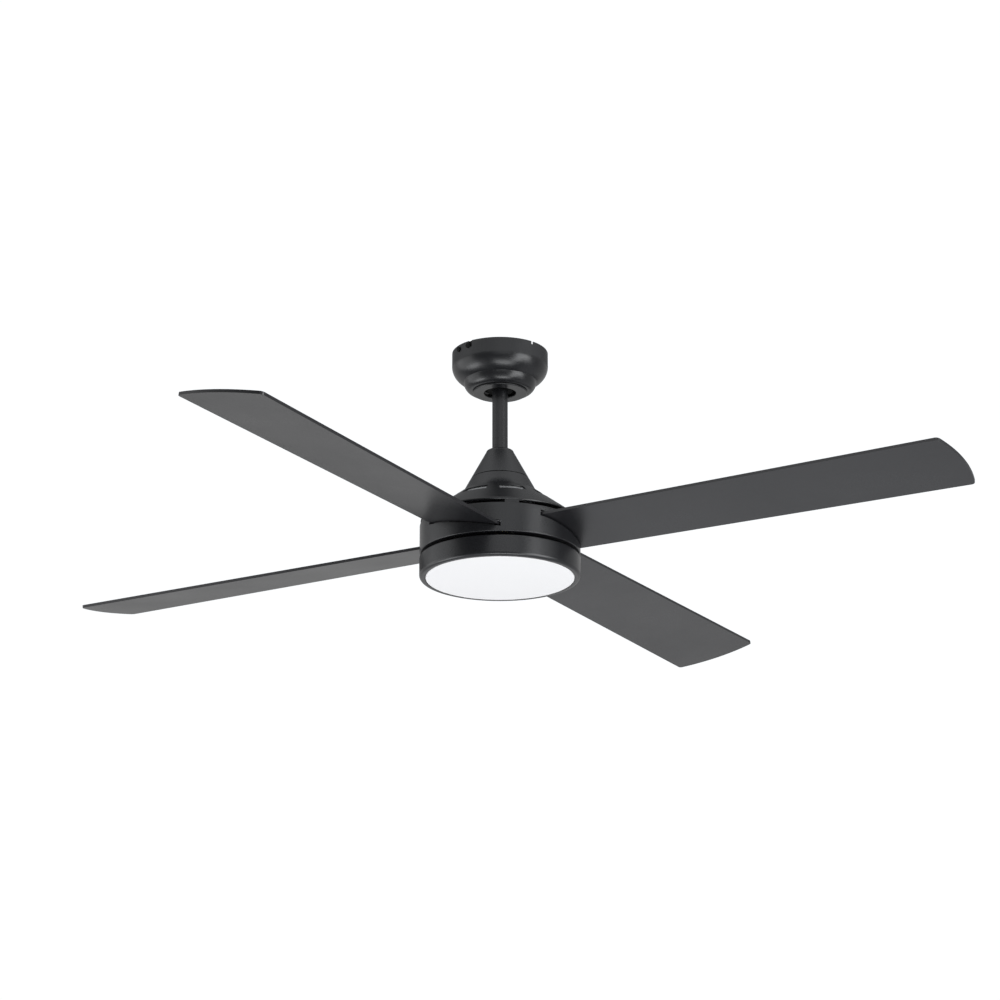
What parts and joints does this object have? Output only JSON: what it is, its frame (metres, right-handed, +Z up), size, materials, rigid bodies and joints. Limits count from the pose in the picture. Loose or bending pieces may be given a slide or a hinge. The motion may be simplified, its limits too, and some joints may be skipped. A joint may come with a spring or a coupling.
{
  "type": "ceiling fan with light",
  "caption": "Black ceiling fan with straight pitched blades entering a slotted drum, a stepped canopy, short downrod and a flat white light.",
  "frame": {"origin": "centre of the hanger bracket's upper face, which is the ceiling plane", "axes": "+Z up along the downrod, away from the fan into the ceiling; blades rest along +X, +Y, -X and -Y"},
  "size_m": [1.32, 1.32, 0.32],
  "materials": {
    "black_metal": "satin black paint",
    "blade_black": "fine matt black moulding",
    "black_screw": "gloss black",
    "zinc": "zinc plated pressed steel",
    "cast_aluminium": "as cast",
    "steel": "bright steel",
    "lamination": "stacked electrical steel",
    "copper": "enamelled copper wire",
    "brass": "turned brass",
    "black_nylon": "moulded black nylon",
    "terminal_white": "moulded white",
    "capacitor_black": "moulded black",
    "rubber": "soft black rubber",
    "lead_insulation": "coloured PVC insulation",
    "earth_green": "green earth screw",
    "driver_white": "moulded white case",
    "board_white": "white solder mask on aluminium",
    "led_phosphor": "yellow phosphor gel",
    "diffuser_white": "opal diffusing plastic"
  },
  "bodies": {
    "ceiling_mount": {"hanger_bracket": "black_metal", "ball_cradle": "black_metal", "canopy": "black_metal", "canopy_trim_plate": "black_metal", "canopy_screws": "black_screw", "terminal_block": "terminal_white", "terminal_screws": "brass", "earth_screw": "earth_green", "run_capacitor": "capacitor_black", "capacitor_clip": "zinc", "swivel_leads": "lead_insulation"},
    "ball_seat": {"ball_seat_liner": "black_nylon"},
    "pendant": {"hanger_ball": "black_nylon", "ball_cross_pin": "steel", "ball_set_screw": "steel", "downrod": "black_metal", "rod_lower_pin": "steel", "rod_pin_clip": "steel", "yoke_collar": "cast_aluminium", "yoke_set_screws": "steel", "coupling_cover": "black_metal", "cover_grip_ring": "rubber", "motor_shaft": "steel", "shaft_circlips": "steel", "stator_core": "lamination", "stator_windings": "copper", "motor_leads": "lead_insulation", "light_leads": "lead_insulation", "bearing_inner_rings": "steel", "light_mount_plate": "black_metal", "shaft_nut": "brass", "light_pan": "black_metal", "light_screws": "steel", "led_driver": "driver_white", "led_board": "board_white", "board_standoffs": "brass", "led_chips": "led_phosphor", "board_screws": "steel", "diffuser": "diffuser_white"},
    "bearing_cage": {"bearing_balls": "steel", "bearing_cages": "brass"},
    "rotor": {"bearing_outer_rings": "steel", "rotor_core": "lamination", "rotor_top_cover": "cast_aluminium", "rotor_bottom_cover": "cast_aluminium", "rotor_cover_screws": "steel", "blade_bracket_1": "black_metal", "blade_bracket_2": "black_metal", "blade_bracket_3": "black_metal", "blade_bracket_4": "black_metal", "bracket_screws": "steel", "blade_1": "blade_black", "blade_2": "blade_black", "blade_3": "blade_black", "blade_4": "blade_black", "blade_screws": "steel", "top_housing": "black_metal", "drum_shell": "black_metal", "drum_standoffs": "brass", "drum_screws": "black_screw"}
  },
  "joints": [
    {"name": "tilt_across", "type": "hinge", "parent": "ceiling_mount", "child": "ball_seat", "pos_m": [0, 0, -0.033], "axis": [0.309, 0.9511, 0], "range_deg": [-12, 12], "deforming": ["swivel_leads"]},
    {"name": "tilt_along", "type": "hinge", "parent": "ball_seat", "child": "pendant", "pos_m": [0, 0, -0.033], "axis": [-0.9511, 0.309, 0], "range_deg": [-12, 12], "deforming": ["swivel_leads"]},
    {"name": "rotor_spin", "type": "hinge", "parent": "pendant", "child": "rotor", "pos_m": [0, 0, -0.252], "axis": [0, 0, 1], "continuous": true},
    {"name": "cage_spin", "type": "hinge", "parent": "pendant", "child": "bearing_cage", "pos_m": [0, 0, -0.252], "axis": [0, 0, 1], "continuous": true}
  ],
  "couplings": [
    {"joint": "cage_spin", "follows": "rotor_spin", "ratio": 0.6123}
  ]
}
